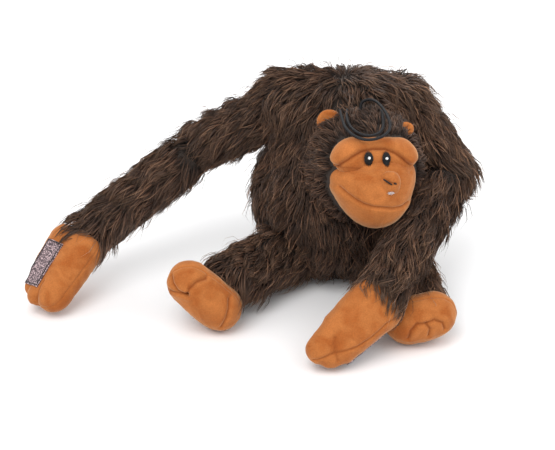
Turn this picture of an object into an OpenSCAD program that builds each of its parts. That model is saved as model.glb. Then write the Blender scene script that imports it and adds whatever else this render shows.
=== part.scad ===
// Stuffed monkey with long arms, sitting on the floor.
// Long-pile fur and short velour covers, each sewn round its own stuffing.
// Millimetres, +Z up, front towards -Y, origin on the floor under the belly.
// "Right" and "left" are the monkey's own sides.

/* [Torso] */
// Radius of the round belly
belly_r = 79; // [78:0.5:79]
// Height of the belly's centre above the floor
belly_z = 73; // [72:0.5:74]
// Radius of the chest
chest_r = 46; // [45:0.5:46.5]
// Height of the chest's centre above the floor
chest_z = 132; // [130:1:133]
// Radius of the flat seat panel
seat_r = 28; // [24:1:29]

/* [Fabrics] */
// Thickness of the fur fabric with its pile pressed flat
fur_t = 5; // [3:0.5:6]
// Thickness of the velour
velour_t = 2; // [1.5:0.5:3]
// Clearance between a cover and the stuffing in it
pack_gap = 0.2; // [0.1:0.1:0.3]
// Clearance at the rolling seams of the head, elbows, wrists and ankles
joint_gap = 0.6; // [0.5:0.1:1]
// Clearance in the hollows that the arms and legs roll in
root_gap = 5; // [3.5:0.5:5]

/* [Head] */
// Radius of the head
head_r = 48; // [46:0.5:48]
// Turn of the face towards the monkey's left, in degrees
face_turn = 12; // [8:1:16]
// Upward tilt of the face, in degrees
face_up = 10; // [6:1:14]
// Radius of the muzzle
muzzle_r = 35; // [33:0.5:35]
// Radius of the brow roll
brow_r = 17; // [15:0.5:17]
// Half the distance between the brow's lobes
brow_half = 22; // [20:0.5:22]
// Radius of the nose
nose_r = 7.5; // [6:0.5:8]
// Radius of an ear
ear_r = 11; // [9:0.5:12]
// Thickness of an ear
ear_t = 5; // [4:0.5:6]
// Width of an embroidered eye
eye_w = 9; // [7:0.5:9]
// Height of an embroidered eye
eye_h = 15; // [12:0.5:15]
// Thickness of the embroidery
thread_t = 0.8; // [0.6:0.1:1]

/* [Arms] */
// Radius of the arm at the shoulder
shoulder_r = 20; // [19:0.5:20]
// Radius of the arm at the elbow
elbow_r = 18; // [17:0.5:18]
// Radius of the arm at the wrist
wrist_r = 17; // [16:0.5:17]
// Radius of the palm's big lobe
palm_r = 21; // [19:0.5:21]
// Radius of the hand's tip
tip_r = 15; // [14:0.5:15]
// Width of the fastening patch on a palm
patch_w = 20; // [16:1:20]
// Length of the fastening patch on a palm
patch_l = 46; // [40:1:46]
// Thickness of the fastening patch
patch_t = 1.6; // [1.2:0.2:2]

/* [Legs] */
// Radius of the leg at the hip
hip_r = 24; // [22:0.5:24]
// Radius of the leg at the ankle
ankle_r = 21; // [20:0.5:21]
// Radius of the heel
heel_r = 21; // [21:0.5:23]
// Radius of the toes
toe_r = 20; // [20:0.5:22]

/* [Hanging loop] */
// Diameter of the elastic cord
cord_d = 2.6; // [2.2:0.2:2.8]

/* [Hidden] */
RIGHT = 0;
LEFT = 1;
SIDES = [RIGHT, LEFT];
SIDE_NAMES = ["right", "left"];

// Joint centres and limb ends of the sitting pose, [right, left]
head_at = [18, -66, 132];
shoulder_at = [[-57, 12, 157], [59, 12, 160]];
elbow_at = [[-130, -4, 126], [102, -28, 108]];
wrist_at = [[-236, -54, 58], [34, -150, 56]];
hand_tip_at = [[-275, -103, 17], [-20, -194, 17]];
hip_at = [[-50, -45, 33], [52, -44, 32]];
ankle_at = [[-104, -100, 34], [63, -116, 28]];
heel_at = [[-113, -130, 21.5], [54, -151, 21.5]];
toe_at = [[-139, -128, 46], [78, -148, 26]];

// Directions that the palms face
palm_faces = [[-0.38, -0.24, 0.895], [0.55, 0.06, -0.83]];

// Side of each forearm that folds towards the upper arm, and how far the
// sleeve is cut back from the elbow's centre on that side and on the other
elbow_inner = [[-0.04, -0.81, 0.58], [-0.81, 0.22, 0.54]];
elbow_cut_in = [22, 17];
elbow_cut_out = [6, 12];
wrist_cut = 8;

// Face, in the head's own frame: the face looks towards -Y
brow_at = [0, -34, 20];
muzzle_at = [0, -27, -9];
nose_at = [4, -58.5, 1];
eye_x = [-9, 7];
eye_z = 20;
ear_at = [[-28, 14, 39], [37, -5, 30]];
ear_seat = 2;
highlight_r = 1.4;
stitch_r = 1;
nostril_from = [[-0.5, -65.6, 3.5], [7.5, -64.8, 1]];
nostril_to = [[5, -65.8, 0.5], [8.6, -64.4, 0]];
pin_from = [6.5, -60, -8];
pin_to = [7, -64.5, -8.5];
pin_r = 1.2;

// Loose wads at the roots of the head and limbs
neck_wad_r = 14;
shoulder_wad_r = 9;
hip_wad_r = 10;
wad_gap = 0.4;

// Middle of the palm and start of its patch, along the hand from the wrist
palm_start = 28;
patch_start = [30, 22];
palm_seam = 8;

cone_sink = 0.3;
seat_t = 3;
far = 400;

// Route of the elastic cord: two turns lying on the head's pile
cord_route = [
    [14, -45.5, 177], [16, -42, 184], [24, -46, 188], [31, -60, 188], [36, -77, 185],
    [37, -91, 180], [30, -102, 177], [18, -107, 176], [7, -103, 177], [-1, -92, 180],
    [-4, -76, 183], [-5, -60, 183], [-5, -48, 178], [-1, -40, 173], [8, -37.5, 172.5],
    [18, -37.5, 173.5], [26, -42, 176], [31, -53, 181], [32, -66, 183], [32, -78, 182],
    [31, -89, 179], [26, -97, 177], [17.5, -101, 177], [9, -97, 178], [3, -88, 180],
    [0.5, -75, 182], [1, -61, 183], [2, -51, 180], [3, -47, 175]
];
cord_sides = 8;
cord_steps = 2;

$fn = 64;

function unit(v) = v / norm(v);
function square_to(v, along) = unit(v - unit(along) * (v * unit(along)));
function fabric(t) = t + pack_gap;

// ---------- shared shapes ----------

// Children placed at p with their +Z along z_dir and +X as near x_dir as it goes
module frame_at(p, z_dir, x_dir) {
    z = unit(z_dir);
    x = square_to(x_dir, z);
    y = cross(z, x);
    multmatrix([
        [x.x, y.x, z.x, p.x],
        [x.y, y.y, z.y, p.y],
        [x.z, y.z, z.z, p.z],
        [0, 0, 0, 1]
    ]) children();
}

// Half outline of two balls and a cone between them, sunk a little at its ends
module pod_outline(r1, r2, len) {
    lean = (r1 - r2) / len;
    wide = sqrt(1 - lean * lean);
    c1 = r1 - cone_sink;
    c2 = r2 - cone_sink;
    intersection() {
        union() {
            circle(r1);
            translate([0, len]) circle(r2);
            polygon([
                [0, c1 * lean], [c1 * wide, c1 * lean],
                [c2 * wide, len + c2 * lean], [0, len + c2 * lean]
            ]);
        }
        translate([0, -r1]) square([max(r1, r2), r1 + len + r2]);
    }
}

// A direction that isn't along v
function aside(v) = abs(unit(v).z) > 0.9 ? [1, 0, 0] : [0, 0, 1];

// Round-ended tapering solid from p to q
module pod(p, q, r1, r2) {
    frame_at(p, q - p, aside(q - p)) rotate_extrude() pod_outline(r1, r2, norm(q - p));
}

module ball(p, r) {
    translate(p) sphere(r);
}

// Everything on the side of the plane through p that dir points away from
module behind(p, dir) {
    frame_at(p, dir, aside(dir)) translate([-far / 2, -far / 2, -far]) cube([far, far, far]);
}

// ---------- torso ----------

// Belly and chest, with the hollows in which the head and the limbs roll
module torso_solid(inset) {
    difference() {
        pod([0, 0, belly_z], [0, 0, chest_z], belly_r - inset, chest_r - inset);
        behind([0, 0, seat_t], [0, 0, 1]);
        ball(head_at, head_r + joint_gap + inset);
        for (s = SIDES) {
            ball(shoulder_at[s], shoulder_r + root_gap + inset);
            ball(hip_at[s], hip_r + root_gap + inset);
        }
    }
}

module torso_fur() {
    color("#3a2b22") difference() {
        torso_solid(0);
        torso_solid(fur_t);
    }
}

module seat_panel() {
    color("#2e221b") cylinder(h = seat_t - pack_gap, r = seat_r - pack_gap);
}

module torso_stuffing() {
    color("#e9e4da") torso_solid(fabric(fur_t));
}

// ---------- head ----------

module neck_stuffing() {
    color("#e4ded2") ball(head_at, neck_wad_r);
}

// Children in the head's own frame, looking towards -Y
module head_frame() {
    translate(head_at) rotate([0, 0, face_turn]) rotate([-face_up, 0, 0]) children();
}

module brow_solid(inset) {
    pod(brow_at - [brow_half, 0, 0], brow_at + [brow_half, 0, 0], brow_r - inset, brow_r - inset);
}

module muzzle_solid(inset) {
    ball(muzzle_at, muzzle_r - inset);
}

module hood_fur() {
    color("#3a2b22") difference() {
        ball(head_at, head_r);
        ball(head_at, head_r - fur_t);
    }
}

module head_stuffing() {
    color("#e9e4da") difference() {
        ball(head_at, head_r - fabric(fur_t));
        ball(head_at, neck_wad_r + wad_gap);
    }
}

module brow_panel() {
    color("#c9763d") head_frame() difference() {
        brow_solid(0);
        brow_solid(velour_t);
        muzzle_solid(0);
        sphere(head_r);
    }
}

module muzzle_panel() {
    color("#c46f38") head_frame() difference() {
        muzzle_solid(0);
        muzzle_solid(velour_t);
        sphere(head_r);
    }
}

module brow_stuffing() {
    color("#e4ded2") head_frame() difference() {
        brow_solid(fabric(velour_t));
        muzzle_solid(0);
        sphere(head_r);
    }
}

module muzzle_stuffing() {
    color("#e4ded2") head_frame() difference() {
        muzzle_solid(fabric(velour_t));
        sphere(head_r);
    }
}

module nose() {
    color("#cf7f45") head_frame() difference() {
        ball(nose_at, nose_r);
        muzzle_solid(0);
    }
}

module nostril_stitching() {
    color("#15110f") head_frame() difference() {
        for (i = [0:len(nostril_from) - 1])
            pod(nostril_from[i], nostril_to[i], stitch_r, stitch_r * 0.9);
        ball(nose_at, nose_r);
        muzzle_solid(0);
    }
}

// Upright oval column through an eye, along Y
module eye_column(x, r, h) {
    translate([x, brow_at.y, eye_z]) rotate([90, 0, 0]) linear_extrude(far) {
        translate([0, h / 2 - r]) circle(r);
        translate([0, r - h / 2]) circle(r);
        square([2 * r, h - 2 * r], center = true);
    }
}

module eye(x) {
    head_frame() difference() {
        intersection() {
            eye_column(x, eye_w / 2, eye_h);
            brow_solid(-thread_t);
        }
        brow_solid(0);
        muzzle_solid(0);
    }
}

module eye_highlights() {
    color("white") head_frame() difference() {
        intersection() {
            for (x = eye_x) eye_column(x, highlight_r, highlight_r * 3);
            brow_solid(-2 * thread_t);
        }
        brow_solid(-thread_t);
    }
}

module tag_pin() {
    color("#dfe6ea") head_frame() difference() {
        pod(pin_from, pin_to, pin_r, pin_r * 0.9);
        muzzle_solid(0);
        ball(nose_at, nose_r + pack_gap);
    }
}

// A flat round ear that stands out of the hood, facing the front
module ear(side) {
    color("#c9763d") difference() {
        head_frame() translate(ear_at[side] * (head_r + ear_r / 2) / norm(ear_at[side]))
            intersection() {
                sphere(ear_r);
                rotate([90, 0, 0]) cylinder(h = ear_t, r = ear_r + 1, center = true);
            }
        ball(head_at, head_r + ear_seat);
    }
}

// ---------- hanging loop ----------

// Point at u, 0 to 1, between route points i and i + 1 of a smooth curve
function route_point(pts, i, u) =
    let (a = pts[max(i - 1, 0)], b = pts[i], c = pts[i + 1], d = pts[min(i + 2, len(pts) - 1)])
    0.5 * (2 * b + (c - a) * u + (2 * a - 5 * b + 4 * c - d) * u * u
        + (3 * b - a - 3 * c + d) * u * u * u);

function smooth(pts, steps) = concat(
    [for (i = [0:len(pts) - 2]) for (k = [0:steps - 1]) route_point(pts, i, k / steps)],
    [pts[len(pts) - 1]]
);

// Side direction carried along the route without twisting
function carried(sides, along, i) =
    i == len(along) ? sides
    : carried(concat(sides, [square_to(sides[i - 1], along[i])]), along, i + 1);

module swept_tube(pts, d, count) {
    last = len(pts) - 1;
    along = [for (i = [0:last]) unit(pts[min(i + 1, last)] - pts[max(i - 1, 0)])];
    sides = carried([square_to([1, 0, 0], along[0])], along, 1);
    rings = [for (i = [0:last]) for (k = [0:count - 1])
        let (a = 360 * k / count)
        pts[i] + d / 2 * (cos(a) * sides[i] + sin(a) * cross(along[i], sides[i]))];
    walls = [for (i = [0:last - 1]) for (k = [0:count - 1])
        let (n = (k + 1) % count)
        [i * count + k, (i + 1) * count + k, (i + 1) * count + n, i * count + n]];
    start = [[for (k = [0:count - 1]) k]];
    end = [[for (k = [count - 1:-1:0]) last * count + k]];
    polyhedron(points = rings, faces = concat(walls, start, end), convexity = 6);
}

module hanging_loop() {
    color("#17181b") swept_tube(smooth(cord_route, cord_steps), cord_d, cord_sides);
}

// ---------- arms ----------

module shoulder_stuffing(side) {
    color("#e4ded2") ball(shoulder_at[side], shoulder_wad_r);
}

module upper_arm_solid(side, inset) {
    pod(shoulder_at[side], elbow_at[side], shoulder_r - inset, elbow_r - inset);
}

module upper_arm_fur(side) {
    color("#3f2f25") difference() {
        upper_arm_solid(side, 0);
        upper_arm_solid(side, fur_t);
    }
}

module upper_arm_stuffing(side) {
    color("#e9e4da") difference() {
        upper_arm_solid(side, fabric(fur_t));
        ball(shoulder_at[side], shoulder_wad_r + wad_gap);
    }
}

// Plane that cuts the forearm's sleeve back so that the elbow can fold
module elbow_cut(side, inset) {
    along = unit(wrist_at[side] - elbow_at[side]);
    lean = (elbow_cut_in[side] - elbow_cut_out[side]) / (2 * elbow_r);
    middle = (elbow_cut_in[side] + elbow_cut_out[side]) / 2 + inset;
    inner = square_to(elbow_inner[side], along);
    behind(elbow_at[side] + along * middle, along - inner * lean);
}

module forearm_solid(side, inset) {
    difference() {
        pod(elbow_at[side], wrist_at[side], elbow_r - inset, wrist_r - inset);
        ball(elbow_at[side], elbow_r + joint_gap + inset);
        elbow_cut(side, inset);
    }
}

module forearm_fur(side) {
    color("#3a2b22") difference() {
        forearm_solid(side, 0);
        forearm_solid(side, fur_t);
    }
}

module forearm_stuffing(side) {
    color("#e9e4da") forearm_solid(side, fabric(fur_t));
}

// Children in a hand's frame: +Z towards the tip, +X out of the palm
module hand_frame(side) {
    frame_at(wrist_at[side], hand_tip_at[side] - wrist_at[side], palm_faces[side]) children();
}

function hand_length(side) = norm(hand_tip_at[side] - wrist_at[side]);

module hand_solid(side, inset) {
    hand_frame(side) difference() {
        pod([0, 0, palm_start], [0, 0, hand_length(side)], palm_r - inset, tip_r - inset);
        sphere(wrist_r + joint_gap + inset);
        behind([0, 0, wrist_cut + inset], [0, 0, 1]);
    }
}

module hand_velour(side) {
    difference() {
        hand_solid(side, 0);
        hand_solid(side, velour_t);
    }
}

module hand_back(side) {
    color("#c9763d") difference() {
        hand_velour(side);
        hand_frame(side) behind([palm_seam, 0, 0], [-1, 0, 0]);
    }
}

module hand_palm(side) {
    color("#c46f38") difference() {
        hand_velour(side);
        hand_frame(side) behind([palm_seam, 0, 0], [1, 0, 0]);
    }
}

module hand_stuffing(side) {
    color("#e9e4da") hand_solid(side, fabric(velour_t));
}

// Flat strip of fastening tape sewn on the palm
module palm_patch(side) {
    color("#8d7f80") difference() {
        hand_frame(side) translate([palm_r - 3, -patch_w / 2, patch_start[side]])
            cube([3 + patch_t, patch_w, patch_l]);
        hand_solid(side, 0);
    }
}

// ---------- legs ----------

module hip_stuffing(side) {
    color("#e4ded2") ball(hip_at[side], hip_wad_r);
}

module leg_solid(side, inset) {
    pod(hip_at[side], ankle_at[side], hip_r - inset, ankle_r - inset);
}

module leg_fur(side) {
    color("#3f2f25") difference() {
        leg_solid(side, 0);
        leg_solid(side, fur_t);
    }
}

module leg_stuffing(side) {
    color("#e9e4da") difference() {
        leg_solid(side, fabric(fur_t));
        ball(hip_at[side], hip_wad_r + wad_gap);
    }
}

module foot_solid(side, inset) {
    difference() {
        pod(heel_at[side], toe_at[side], heel_r - inset, toe_r - inset);
        ball(ankle_at[side], ankle_r + joint_gap + inset);
    }
}

module foot_velour(side) {
    color("#c9763d") difference() {
        foot_solid(side, 0);
        foot_solid(side, velour_t);
    }
}

module foot_stuffing(side) {
    color("#e9e4da") foot_solid(side, fabric(velour_t));
}

// ---------- nodes ----------

torso_fur();
seat_panel();
torso_stuffing();
neck_stuffing();
hood_fur();
head_stuffing();
brow_panel();
muzzle_panel();
brow_stuffing();
muzzle_stuffing();
nose();
nostril_stitching();
color("#15110f") eye(eye_x[0]);  // eye_right
color("#15110f") eye(eye_x[1]);  // eye_left
eye_highlights();
tag_pin();
hanging_loop();
for (s = SIDES) {
    name = SIDE_NAMES[s];
    ear(s);
    shoulder_stuffing(s);
    upper_arm_fur(s);
    upper_arm_stuffing(s);
    forearm_fur(s);
    forearm_stuffing(s);
    hand_back(s);
    hand_palm(s);
    hand_stuffing(s);
    palm_patch(s);
    hip_stuffing(s);
    leg_fur(s);
    leg_stuffing(s);
    foot_velour(s);
    foot_stuffing(s);
}
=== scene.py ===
"""Stuffed monkey with long arms: fur coat, velour face, hands and feet, elastic hanging loop."""

import math

import bpy
import numpy as np
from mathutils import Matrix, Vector
from mathutils.kdtree import KDTree


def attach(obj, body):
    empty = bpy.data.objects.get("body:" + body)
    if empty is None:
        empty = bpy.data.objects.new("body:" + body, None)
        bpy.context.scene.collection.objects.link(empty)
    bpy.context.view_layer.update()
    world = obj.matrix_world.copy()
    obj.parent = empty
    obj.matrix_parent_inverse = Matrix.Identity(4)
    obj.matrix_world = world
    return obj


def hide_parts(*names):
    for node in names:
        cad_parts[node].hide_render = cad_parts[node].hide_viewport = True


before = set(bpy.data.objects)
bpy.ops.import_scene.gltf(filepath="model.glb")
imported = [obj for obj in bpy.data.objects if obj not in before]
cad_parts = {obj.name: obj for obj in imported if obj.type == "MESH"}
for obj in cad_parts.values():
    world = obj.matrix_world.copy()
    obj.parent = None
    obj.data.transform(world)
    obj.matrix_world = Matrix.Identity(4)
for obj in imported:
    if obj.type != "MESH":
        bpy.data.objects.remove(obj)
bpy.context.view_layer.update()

bl_info = {
    "name": "Stuffed Monkey",
    "version": (1, 0, 0),
    "blender": (4, 5, 0),
    "location": "3D View > Sidebar > Monkey",
    "description": "Builds a sitting stuffed monkey with a fur coat and velour face, hands and feet",
    "category": "Add Mesh",
}

MM = 0.001
SIDES = ("right", "left")

# The sitting pose, in millimetres
BELLY = (0, 0, 73)
CHEST = (0, 0, 132)
BELLY_R, CHEST_R = 79, 46
HEAD = (18, -66, 132)
HEAD_R = 48
SHOULDER = {"right": (-57, 12, 157), "left": (59, 12, 160)}
ELBOW = {"right": (-130, -4, 126), "left": (102, -28, 108)}
WRIST = {"right": (-236, -54, 58), "left": (34, -150, 56)}
HAND_TIP = {"right": (-275, -103, 17), "left": (-20, -194, 17)}
PALM_FACES = {"right": (-0.38, -0.24, 0.895), "left": (0.55, 0.06, -0.83)}
HIP = {"right": (-50, -45, 33), "left": (52, -44, 32)}
ANKLE = {"right": (-104, -100, 34), "left": (63, -116, 28)}
HEEL = {"right": (-113, -130, 21.5), "left": (54, -151, 21.5)}
TOE = {"right": (-139, -128, 46), "left": (78, -148, 26)}
SOLE_FACES = {"right": (0, -1, 0.08), "left": (0.25, -0.95, 0.1)}
SHOULDER_R, ELBOW_R, WRIST_R = 20, 18, 17
HIP_R, ANKLE_R, HEEL_R, TOE_R = 24, 21, 21, 20
ELBOW_INNER = {"right": (-0.04, -0.81, 0.58), "left": (-0.81, 0.22, 0.54)}
ELBOW_CUT = {"right": (22, 6), "left": (17, 12)}

# Two laps of elastic cord lying on the head, the same route as its solid
CORD_ROUTE = [
    (14, -45.5, 177), (16, -42, 184), (24, -46, 188), (31, -60, 188), (36, -77, 185),
    (37, -91, 180), (30, -102, 177), (18, -107, 176), (7, -103, 177), (-1, -92, 180),
    (-4, -76, 183), (-5, -60, 183), (-5, -48, 178), (-1, -40, 173), (8, -37.5, 172.5),
    (18, -37.5, 173.5), (26, -42, 176), (31, -53, 181), (32, -66, 183), (32, -78, 182),
    (31, -89, 179), (26, -97, 177), (17.5, -101, 177), (9, -97, 178), (3, -88, 180),
    (0.5, -75, 182), (1, -61, 183), (2, -51, 180), (3, -47, 175),
]

# Seams and creases of the face, as (x, z) in the head's own frame
BROW_CREASE = [
    (-36, 13), (-33, 17), (-25, 23), (-15, 27), (-4, 28), (7, 27), (16, 22), (24, 14), (30, 9)
]
EYE_SEAM = [
    (-38, 12), (-30, 13), (-21, 12), (-11, 11), (-3, 12), (4, 11), (13, 8), (21, 4), (30, 3)
]
SMILE = [
    (-34, -5),
    (-30, -9),
    (-24, -14),
    (-17, -18),
    (-10, -20.5),
    (0, -22),
    (9, -24),
    (19, -24.5),
    (26, -23),
]
EYE_PLACES = [(-9.5, 20), (6.5, 18.5)]
NOSE_PLACE = (6.5, -57, 1)


# ---------------------------------------------------------------- shape maths


def vec(p):
    return np.array(p, float)


def unit(v):
    v = vec(v)
    return v / np.linalg.norm(v)


def axes(z_dir, x_dir):
    """Columns x, y, z of a frame whose z follows z_dir and whose x leans to x_dir."""
    z = unit(z_dir)
    x = vec(x_dir) - z * (vec(x_dir) @ z)
    x = unit(x)
    return np.stack([x, np.cross(z, x), z], 1)


def head_axes():
    a, b = math.radians(12), math.radians(-10)
    turn = np.array([[math.cos(a), -math.sin(a), 0], [math.sin(a), math.cos(a), 0], [0, 0, 1]])
    tilt = np.array([[1, 0, 0], [0, math.cos(b), -math.sin(b)], [0, math.sin(b), math.cos(b)]])
    return turn @ tilt


HEAD_AXES = head_axes()


def hand_axes(side):
    return axes(vec(HAND_TIP[side]) - vec(WRIST[side]), PALM_FACES[side])


def foot_axes(side):
    return axes(vec(TOE[side]) - vec(HEEL[side]), SOLE_FACES[side])


def ball(p, c, r):
    return np.linalg.norm(p - vec(c), axis=1) - r


def oval(p, c, radii):
    """Roughly the distance to an ellipsoid."""
    q = (p - vec(c)) / vec(radii)
    k0 = np.linalg.norm(q, axis=1)
    k1 = np.linalg.norm(q / vec(radii), axis=1)
    return k0 * (k0 - 1) / np.maximum(k1, 1e-9)


def pod(p, a, b, r1, r2):
    """Distance to two balls and the cone between them."""
    a, b = vec(a), vec(b)
    ba = b - a
    l2 = ba @ ba
    rr = r1 - r2
    a2 = l2 - rr * rr
    pa = p - a
    y = pa @ ba
    z = y - l2
    x2 = ((pa * l2 - np.outer(y, ba)) ** 2).sum(1)
    y2, z2 = y * y * l2, z * z * l2
    k = np.sign(rr) * rr * rr * x2
    far_end = np.sign(z) * a2 * z2 > k
    near_end = np.sign(y) * a2 * y2 < k
    side = (np.sqrt(x2 * a2 / l2) + y * rr) / l2 - r1
    rest = np.where(near_end, np.sqrt(x2 + y2) / l2 - r1, side)
    return np.where(far_end, np.sqrt(x2 + z2) / l2 - r2, rest)


def melt(a, b, k):
    """Union of two distances with a soft join about k wide."""
    h = np.maximum(k - np.abs(a - b), 0) / k
    return np.minimum(a, b) - h * h * k / 4


def waves(p, size, seed, octaves=3):
    """Smooth repeatable noise, about -1 to 1, made of crossing waves."""
    rng = np.random.default_rng(seed)
    out = np.zeros(len(p))
    total = 0.0
    for o in range(octaves):
        for _ in range(5):
            d = unit(rng.normal(size=3))
            out += np.sin(p @ d * (2 * math.pi / size) + rng.uniform(0, 6.28)) / (1 + o)
            total += 0.45 / (1 + o)
        size *= 0.53
    return out / total


def to_line(q, line):
    """Distance from each 2-D point to a polyline."""
    best = np.full(len(q), 1e9)
    for a, b in zip(line[:-1], line[1:]):
        a, b = vec(a), vec(b)
        ab = b - a
        t = np.clip(((q - a) @ ab) / (ab @ ab), 0, 1)
        best = np.minimum(best, np.linalg.norm(q - a - t[:, None] * ab, axis=1))
    return best


def slope(shape, p, e=0.15):
    """Outward normals of a distance shape at points near its surface."""
    n = np.stack([shape(p + d) - shape(p - d) for d in np.eye(3) * e], 1)
    return n / np.maximum(np.linalg.norm(n, axis=1), 1e-9)[:, None]


# ---------------------------------------------------------------- scene helpers


def clear_selection():
    for o in bpy.context.selected_objects:
        o.select_set(False)


def linked(name, mesh, material):
    obj = bpy.data.objects.new(name, mesh)
    bpy.context.collection.objects.link(obj)
    mesh.materials.append(material)
    return obj


def set_points(mesh, points_mm):
    mesh.vertices.foreach_set("co", (np.asarray(points_mm) * MM).astype(np.float32).ravel())
    mesh.update()


def point_values(mesh, name, values):
    """One number for each point of a mesh, for its finish to read."""
    layer = mesh.attributes.new(name, "FLOAT", "POINT")
    layer.data.foreach_set("value", np.asarray(values).astype(np.float32))


def get_points(mesh):
    co = np.empty(len(mesh.vertices) * 3, np.float32)
    mesh.vertices.foreach_get("co", co)
    return co.reshape(-1, 3).astype(float)


def finish_piece(obj, body, slot, *nodes):
    """Smooth shading, the piece's body, and hiding the solids it stands for. The slot argument is not used."""
    obj.data.polygons.foreach_set("use_smooth", [True] * len(obj.data.polygons))
    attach(obj, body)
    if nodes:
        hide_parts(*nodes)
    return obj


def star_cover(name, centre, shape, detail, material, reach, basis=None, shaping=None):
    """A closed cover: a round primitive whose points are drawn in on to a shape, seen from centre."""
    clear_selection()
    bpy.ops.mesh.primitive_ico_sphere_add(subdivisions=detail, radius=1, location=(0, 0, 0))
    obj = bpy.context.active_object
    obj.name = obj.data.name = name
    d = get_points(obj.data)
    d /= np.linalg.norm(d, axis=1)[:, None]
    c = vec(centre)
    t = np.full(len(d), float(reach))
    for _ in range(70):
        s = shape(c + d * t[:, None])
        t -= s * 0.85
        if np.abs(s).max() < 0.01:
            break
    p = c + d * t[:, None]
    if shaping is not None:
        p = shaping(p, slope(shape, p))
    if basis is not None:
        origin, m = basis
        p = vec(origin) + p @ m.T
    set_points(obj.data, p)
    obj.data.materials.clear()
    obj.data.materials.append(material)
    return obj


# ---------------------------------------------------------------- materials


class Finish:
    """A procedural material: textures on the piece's own coordinates, led into one shader."""

    def __init__(self, name, **preset):
        self.material = bpy.data.materials.new(name)
        self.material.use_nodes = True
        self.nodes, self.links = self.material.node_tree.nodes, self.material.node_tree.links
        self.shader = self.nodes["Principled BSDF"]
        self.place = self.nodes.new("ShaderNodeTexCoord").outputs["Object"]
        self.preset(self.shader, preset)

    def preset(self, node, values):
        for name, value in values.items():
            node.inputs[name.replace("_", " ")].default_value = value

    def lead(self, value, socket):
        """Links an output to a socket, or sets a plain value on it."""
        if isinstance(value, bpy.types.NodeSocket):
            self.links.new(value, socket)
        else:
            socket.default_value = value

    def texture(self, kind, output="Fac", place=None, **values):
        node = self.nodes.new("ShaderNodeTex" + kind)
        self.preset(node, values)
        self.links.new(place or self.place, node.inputs["Vector"])
        return node.outputs[output]

    def braid(self, scale, distortion):
        """Threads that run diagonally."""
        out = self.texture("Wave", Scale=scale, Distortion=distortion)
        out.node.bands_direction = "DIAGONAL"
        return out

    def attribute(self, name):
        node = self.nodes.new("ShaderNodeAttribute")
        node.attribute_name = name
        return node.outputs["Fac"]

    def ramp(self, factor, *stops):
        node = self.nodes.new("ShaderNodeValToRGB")
        elements = node.color_ramp.elements
        for element, (position, colour) in zip(elements, (stops[0], stops[-1])):
            element.position, element.color = position, (*colour, 1)
        for position, colour in stops[1:-1]:
            elements.new(position).color = (*colour, 1)
        self.links.new(factor, node.inputs["Fac"])
        return node.outputs["Color"]

    def mix(self, a, b, factor=1.0, blend="MULTIPLY"):
        node = self.nodes.new("ShaderNodeMix")
        node.data_type, node.blend_type = "RGBA", blend
        for value, name in ((factor, "Factor"), (a, "A"), (b, "B")):
            self.lead(value, node.inputs[name])
        return node.outputs["Result"]

    def colour(self, value):
        self.lead(value, self.shader.inputs["Base Color"])

    def bump(self, height, strength, distance):
        node = self.nodes.new("ShaderNodeBump")
        node.inputs["Strength"].default_value = strength
        node.inputs["Distance"].default_value = distance
        self.links.new(height, node.inputs["Height"])
        self.links.new(node.outputs["Normal"], self.shader.inputs["Normal"])


def shaded(colour, amount):
    return tuple(min(1, c * amount) for c in colour)


def grey(value):
    return (value, value, value)


def fur_material(name, root, middle, tip):
    """Hair darkened at the root with painted shade deep in the pile and lightened at the tip with a painted
    highlight, each lock a little different.
    """
    f = Finish(
        name, Roughness=0.5, Specular_IOR_Level=0.28, Sheen_Weight=0.03, Sheen_Roughness=0.4
    )
    # Along each lock: painted shade at the root, the hair's colour in the middle, a painted highlight at the
    # tip.
    length = f.ramp(f.attribute("along"), (0.0, root), (0.45, middle), (1.0, tip))
    lock = f.ramp(
        f.attribute("tint"),
        (0.0, (0.34, 0.32, 0.31)),
        (0.5, (0.9, 0.87, 0.85)),
        (0.85, (1.9, 1.8, 1.7)),
        (1.0, (4.4, 4.2, 3.9)),
    )
    f.colour(f.mix(length, lock))


def velour_material(name, colour, deep, shift):
    """Short brushed pile: patches brushed each way, a fine nap, a pale rim at a low angle and painted shade in
    the creases.
    """
    f = Finish(
        name,
        Roughness=0.9,
        Specular_IOR_Level=0.15,
        Sheen_Weight=0.55,
        Sheen_Roughness=0.35,
        Sheen_Tint=(1.0, 0.78, 0.5, 1),
    )
    moved = f.nodes.new("ShaderNodeMapping")
    moved.inputs["Location"].default_value = (shift, shift * 0.7, -shift)
    f.links.new(f.place, moved.inputs["Vector"])
    place = moved.outputs["Vector"]
    brushed = f.texture("Noise", place=place, Scale=55, Detail=4, Distortion=0.8)
    fine = f.texture("Noise", place=place, Scale=900, Detail=2)
    tone = f.ramp(brushed, (0.32, deep), (0.52, colour), (0.72, shaded(colour, 1.18)))
    # Painted shade in the sewn creases and folds: the tone darkens towards this colour where the crease
    # attribute is high.
    crease_shade_colour = (deep[0] * 0.55, deep[1] * 0.45, deep[2] * 0.4, 1)
    tone = f.mix(tone, crease_shade_colour, factor=f.attribute("crease"), blend="MIX")
    f.colour(f.mix(tone, f.ramp(fine, (0.3, grey(0.86)), (0.7, grey(1.1)))))
    f.bump(fine, 0.35, 0.0006)


def thread_material(name, colour):
    """Embroidery: satin threads side by side."""
    f = Finish(name, Roughness=0.45, Specular_IOR_Level=0.3)
    thread = f.braid(433, 1.5)
    f.colour(f.ramp(thread, (0.0, shaded(colour, 0.6)), (1.0, shaded(colour, 1.3))))
    f.bump(thread, 0.5, 0.0002)


def cord_material(name):
    """Braided black elastic: fine diagonal plaits over a dull core."""
    f = Finish(name, Roughness=0.6, Specular_IOR_Level=0.3)
    plait = f.braid(420, 2.0)
    f.colour(f.ramp(plait, (0.2, (0.002, 0.002, 0.003)), (0.8, (0.011, 0.011, 0.013))))
    f.bump(plait, 0.6, 0.0003)


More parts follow.
